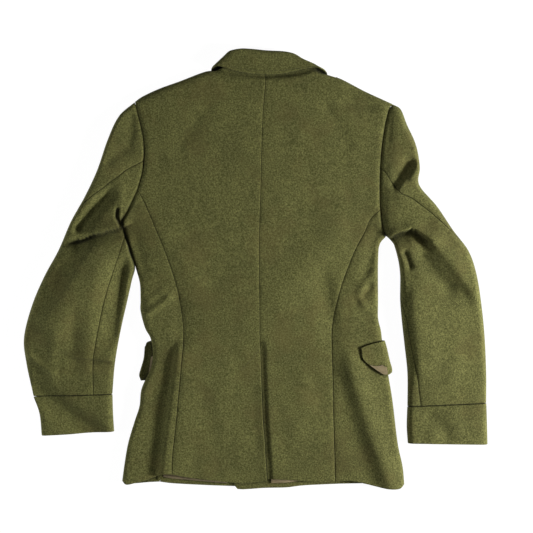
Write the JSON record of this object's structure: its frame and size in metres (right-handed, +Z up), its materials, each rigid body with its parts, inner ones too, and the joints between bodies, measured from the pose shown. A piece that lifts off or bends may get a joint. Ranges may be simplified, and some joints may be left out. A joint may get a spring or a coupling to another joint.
{
  "type": "field jacket laid flat, back up",
  "caption": "Tailored wool field jacket laid flat face down, with turned-down collar, two-piece sleeves, deep cuffs, side-back seams, centre vent and hip pocket flaps.",
  "frame": {"origin": "centre of the garment's footprint, on the surface that it lies on", "axes": "+X to the right across the back as seen from above, +Y up the back towards the collar, +Z up from the surface, so the back of the jacket faces +Z"},
  "size_m": [0.8312, 0.7902, 0.0232],
  "materials": {
    "wool": "heavy milled olive green wool, matt, with a short nap, fine grain and a faint brown mottle",
    "lining": "beige twill lining, smooth, with a soft low sheen"
  },
  "bodies": {
    "root": {"back_left": "wool", "back_right": "wool", "side_left": "wool", "side_right": "wool", "front_left": "wool", "front_right": "wool", "sleeve_top_left": "wool", "sleeve_top_right": "wool", "sleeve_under_left": "wool", "sleeve_under_right": "wool", "cuff_left": "wool", "cuff_right": "wool", "collar": "wool", "flap_left": "wool", "flap_right": "wool", "shoulder_strap_left": "wool", "shoulder_strap_right": "wool", "flap_lining_left": "lining", "flap_lining_right": "lining", "front_lining_left": "lining", "front_lining_right": "lining"}
  },
  "joints": []
}
